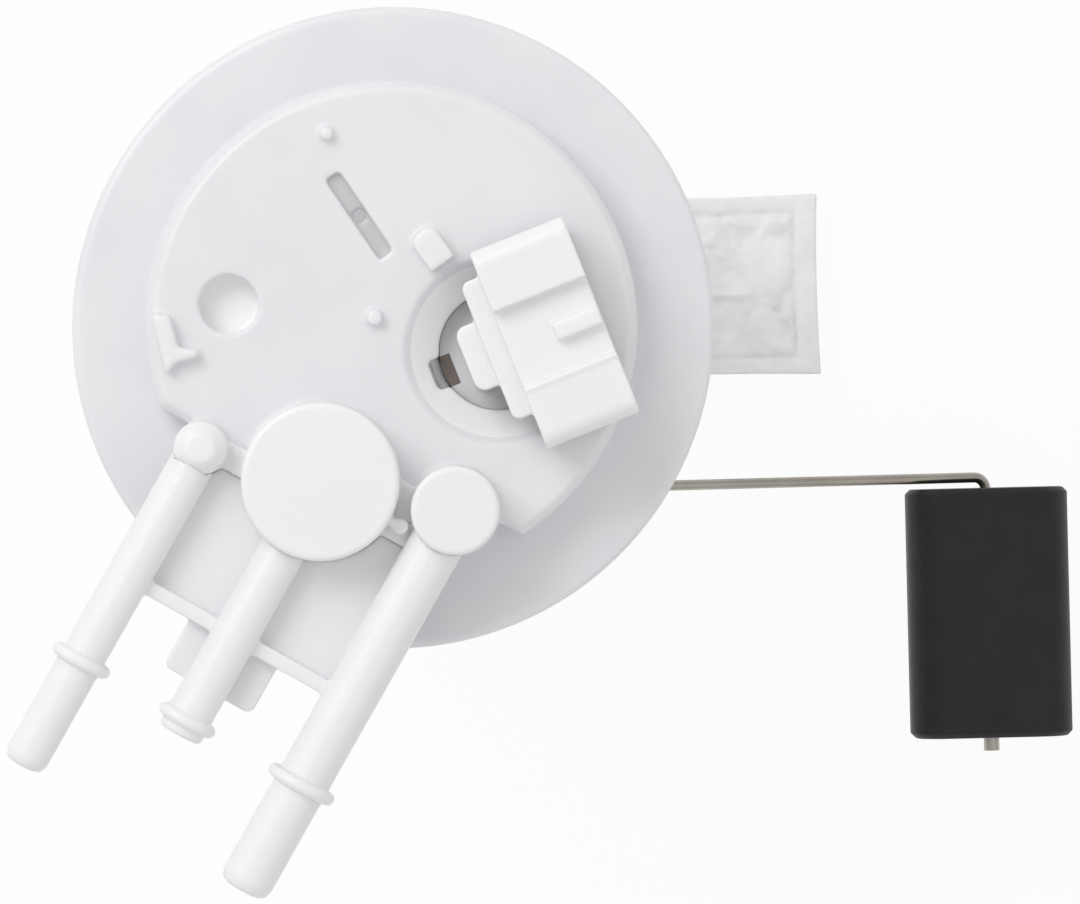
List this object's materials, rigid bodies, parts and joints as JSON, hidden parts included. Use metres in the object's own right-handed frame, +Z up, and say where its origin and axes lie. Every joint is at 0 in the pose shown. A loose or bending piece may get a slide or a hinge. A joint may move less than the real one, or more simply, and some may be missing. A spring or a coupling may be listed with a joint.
{
  "type": "fuel pump module",
  "caption": "In-tank fuel pump module: round moulded cover with quick-connect nozzles and plug socket, sprung reservoir with electric pump, strainer sock and float level sender.",
  "frame": {"origin": "centre of the flange's underside, the face that seats on the tank", "axes": "+Z up out of the tank along the cover's axis, +X the way the level sender's arm points, nozzles towards -X -Y"},
  "size_m": [0.2039, 0.1593, 0.2065],
  "materials": {
    "white_acetal": "natural white acetal, softly glossy",
    "natural_nylon": "translucent natural nylon",
    "black_foam": "closed-cell nitrile foam, matte",
    "seal_rubber": "smooth black rubber",
    "filter_cloth": "woven nylon filter cloth, heat sealed edge",
    "steel": "plain drawn or rolled steel",
    "stainless_wire": "stainless wire, satin",
    "zinc_steel": "zinc plated steel",
    "brass": "tinned or bare brass strip",
    "copper": "copper segments",
    "core_steel": "varnished laminations",
    "ferrite": "sintered ferrite",
    "carbon": "pressed carbon",
    "pump_plastic": "glass filled plastic, dark grey",
    "ceramic": "fired ceramic with dark resistor tracks",
    "lead_insulation": "fuel proof wire insulation",
    "grey_plug": "moulded grey plug"
  },
  "bodies": {
    "cover": {"flange_cover": "white_acetal", "nozzle_set": "white_acetal", "feed_elbow_cap": "white_acetal", "vent_cap": "white_acetal", "vent_housing": "white_acetal", "vent_bottom_cap": "white_acetal", "vent_spring": "steel", "flange_seal": "seal_rubber", "connector_body": "white_acetal", "connector_terminals": "brass", "connector_seal": "natural_nylon", "guide_rod_1": "steel", "rod_clip_1": "steel", "rod_spring_1": "steel", "guide_rod_2": "steel", "rod_clip_2": "steel", "rod_spring_2": "steel", "guide_rod_3": "steel", "rod_clip_3": "steel", "rod_spring_3": "steel", "feed_hose": "natural_nylon", "return_hose": "natural_nylon", "pump_leads": "lead_insulation", "sender_leads": "lead_insulation"},
    "vent_valve": {"vent_float": "white_acetal"},
    "reservoir": {"reservoir_bucket": "white_acetal", "reservoir_lid": "white_acetal", "fill_valve": "seal_rubber", "pump_shell": "zinc_steel", "pump_inlet_end": "pump_plastic", "pump_casting": "pump_plastic", "pump_magnets": "ferrite", "pump_brushes": "carbon", "pump_outlet_end": "pump_plastic", "pump_terminals": "brass", "pump_plug": "grey_plug", "pump_isolator": "seal_rubber", "strainer_sock": "filter_cloth", "strainer_neck": "white_acetal", "sender_bracket": "white_acetal", "resistor_card": "ceramic", "sender_plug": "grey_plug"},
    "pump_rotor": {"impeller": "pump_plastic", "armature_shaft": "steel", "armature": "core_steel", "commutator": "copper"},
    "float_arm": {"arm_hub": "white_acetal", "arm_wire": "stainless_wire", "wiper": "brass", "float_retainer": "stainless_wire"},
    "float": {"level_float": "black_foam"}
  },
  "joints": [
    {"name": "reservoir_slide", "type": "slide", "parent": "cover", "child": "reservoir", "axis": [0, 0, 1], "range_m": [0, 0.03], "stiffness_N_per_m": 400, "springref_m": -0.02, "deforming": ["rod_spring_1", "rod_spring_2", "rod_spring_3", "feed_hose", "return_hose", "pump_leads", "sender_leads"]},
    {"name": "float_arm_pivot", "type": "hinge", "parent": "reservoir", "child": "float_arm", "pos_m": [0, -0.0305, -0.105], "axis": [0, -1, 0], "range_deg": [0, 60]},
    {"name": "float_swivel", "type": "hinge", "parent": "float_arm", "child": "float", "pos_m": [0.11727, -0.0582, -0.14768], "axis": [0, 1, 0], "continuous": true},
    {"name": "pump_spin", "type": "hinge", "parent": "reservoir", "child": "pump_rotor", "pos_m": [0, 0.006, -0.11], "axis": [0, 0, 1], "continuous": true},
    {"name": "vent_float_lift", "type": "slide", "parent": "cover", "child": "vent_valve", "axis": [0, 0, 1], "range_m": [0, 0.003], "stiffness_N_per_m": 4, "springref_m": 0.003, "deforming": ["vent_spring"]}
  ]
}
